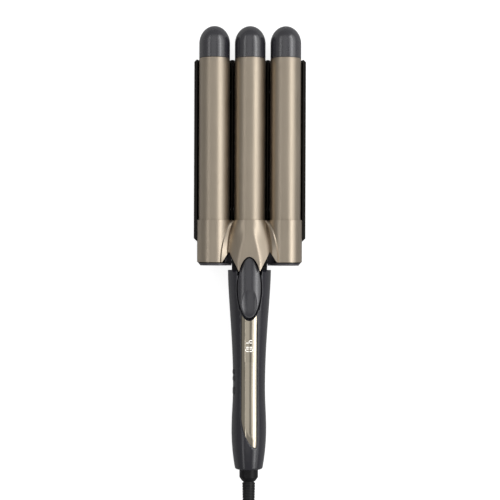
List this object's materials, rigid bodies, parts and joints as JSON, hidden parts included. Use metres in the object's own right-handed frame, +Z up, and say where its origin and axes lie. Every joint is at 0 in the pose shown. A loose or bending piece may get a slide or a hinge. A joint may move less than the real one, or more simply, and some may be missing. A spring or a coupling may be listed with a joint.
{
  "type": "hair waver",
  "caption": "Hair waver lying on its back: parallel heated barrels on a hinged jaw over a waved clamp plate, oval thumb lever, waisted handle with display strip, swivel cord.",
  "frame": {"origin": "on the surface that the tool lies on, below the middle of its length and width, the cord left out", "axes": "+Y along the tool towards the barrel tips, +Z up from the surface, +X across the barrels"},
  "size_m": [0.1505, 0.5546, 0.042],
  "materials": {
    "barrel_coat": "satin metallic",
    "tip_plastic": "satin",
    "cover_metal": "polished, champagne tint",
    "handle_plastic": "satin",
    "lever_plastic": "semi-gloss",
    "strip_metal": "mirror, champagne tint",
    "window": "smoked gloss",
    "display": "gloss",
    "board": "solder mask",
    "electronics": "matte",
    "steel": "machined",
    "brass": "machined",
    "bronze": "sintered",
    "black_plastic": "satin",
    "plate_coat": "semi-gloss ceramic coat",
    "heater_ceramic": "matte",
    "spreader_metal": "extruded",
    "sensor": "gloss",
    "insulator": "moulded",
    "base_plastic": "satin",
    "wire": "sleeve",
    "cord_rubber": "satin",
    "key_plastic": "satin"
  },
  "bodies": {
    "handle": {"handle_front_shell": "handle_plastic", "handle_rear_shell": "handle_plastic", "handle_end_cap": "handle_plastic", "handle_screws": "steel", "trim_strip": "strip_metal", "display_window": "window", "display_module": "display", "control_board": "board", "board_parts": "electronics", "button_board": "board", "button_switches": "steel", "hinge_block": "black_plastic", "hinge_pin": "steel", "return_spring": "steel", "clamp_rear_shell": "black_plastic", "clamp_plate": "plate_coat", "clamp_screws": "steel", "swivel_housing": "handle_plastic", "swivel_contacts": "brass", "supply_wires": "wire", "cord_lead": "cord_rubber", "cord_coil": "cord_rubber", "cord_tail": "cord_rubber", "cable_tie": "black_plastic", "plug_body": "black_plastic", "plug_blades": "steel"},
    "jaw": {"barrel_left": "barrel_coat", "barrel_middle": "barrel_coat", "barrel_right": "barrel_coat", "tip_left": "tip_plastic", "tip_middle": "tip_plastic", "tip_right": "tip_plastic", "heater_bars": "heater_ceramic", "heat_spreaders": "spreader_metal", "thermistor": "sensor", "thermal_fuse": "steel", "barrel_frame": "insulator", "frame_screws": "steel", "front_cover": "cover_metal", "cover_plugs": "cover_metal", "base_shell": "base_plastic", "hinge_bushes": "bronze", "thumb_lever": "lever_plastic", "lever_screws": "steel", "heater_wires": "wire"},
    "power_key": {"power_button": "key_plastic"},
    "plus_key": {"plus_button": "key_plastic"},
    "minus_key": {"minus_button": "key_plastic"},
    "swivel": {"swivel_collar": "black_plastic", "slip_rings": "brass", "strain_relief": "cord_rubber"}
  },
  "joints": [
    {"name": "jaw_hinge", "type": "hinge", "parent": "handle", "child": "jaw", "pos_m": [0, 0.02015, 0.018], "axis": [1, 0, 0], "range_deg": [0, 8], "stiffness_Nm_per_rad": 1, "springref_deg": -28.65, "deforming": ["return_spring"]},
    {"name": "power_press", "type": "slide", "parent": "handle", "child": "power_key", "axis": [0.9397, 0, -0.342], "range_m": [0, 0.0005], "stiffness_N_per_m": 600, "springref_m": -0.0005},
    {"name": "plus_press", "type": "slide", "parent": "handle", "child": "plus_key", "axis": [0.9397, 0, -0.342], "range_m": [0, 0.0005], "stiffness_N_per_m": 600, "springref_m": -0.0005},
    {"name": "minus_press", "type": "slide", "parent": "handle", "child": "minus_key", "axis": [0.9397, 0, -0.342], "range_m": [0, 0.0005], "stiffness_N_per_m": 600, "springref_m": -0.0005},
    {"name": "cord_swivel", "type": "hinge", "parent": "handle", "child": "swivel", "pos_m": [0, -0.155, 0.018], "axis": [0, 1, 0], "continuous": true}
  ]
}
